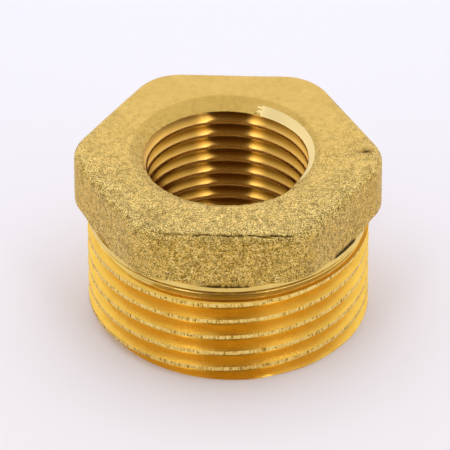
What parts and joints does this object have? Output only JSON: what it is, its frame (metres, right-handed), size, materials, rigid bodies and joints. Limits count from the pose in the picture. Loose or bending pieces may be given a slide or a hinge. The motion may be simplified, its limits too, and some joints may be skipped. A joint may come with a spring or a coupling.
{
  "type": "hex bushing",
  "caption": "Reducing hex bushing: forged hexagon head over a turned shank with an outside pipe thread, and a smaller pipe thread inside.",
  "frame": {"origin": "centre of the shank's end face, on the common axis of both threads", "axes": "+Z along the axis from the shank to the head, +X towards a corner of the hexagon, +Y towards a flat"},
  "size_m": [0.0362, 0.0332, 0.021],
  "materials": {
    "brass": "sandblasted head, bright turned threads"
  },
  "bodies": {
    "root": {"hex_bushing": "brass"}
  },
  "joints": []
}
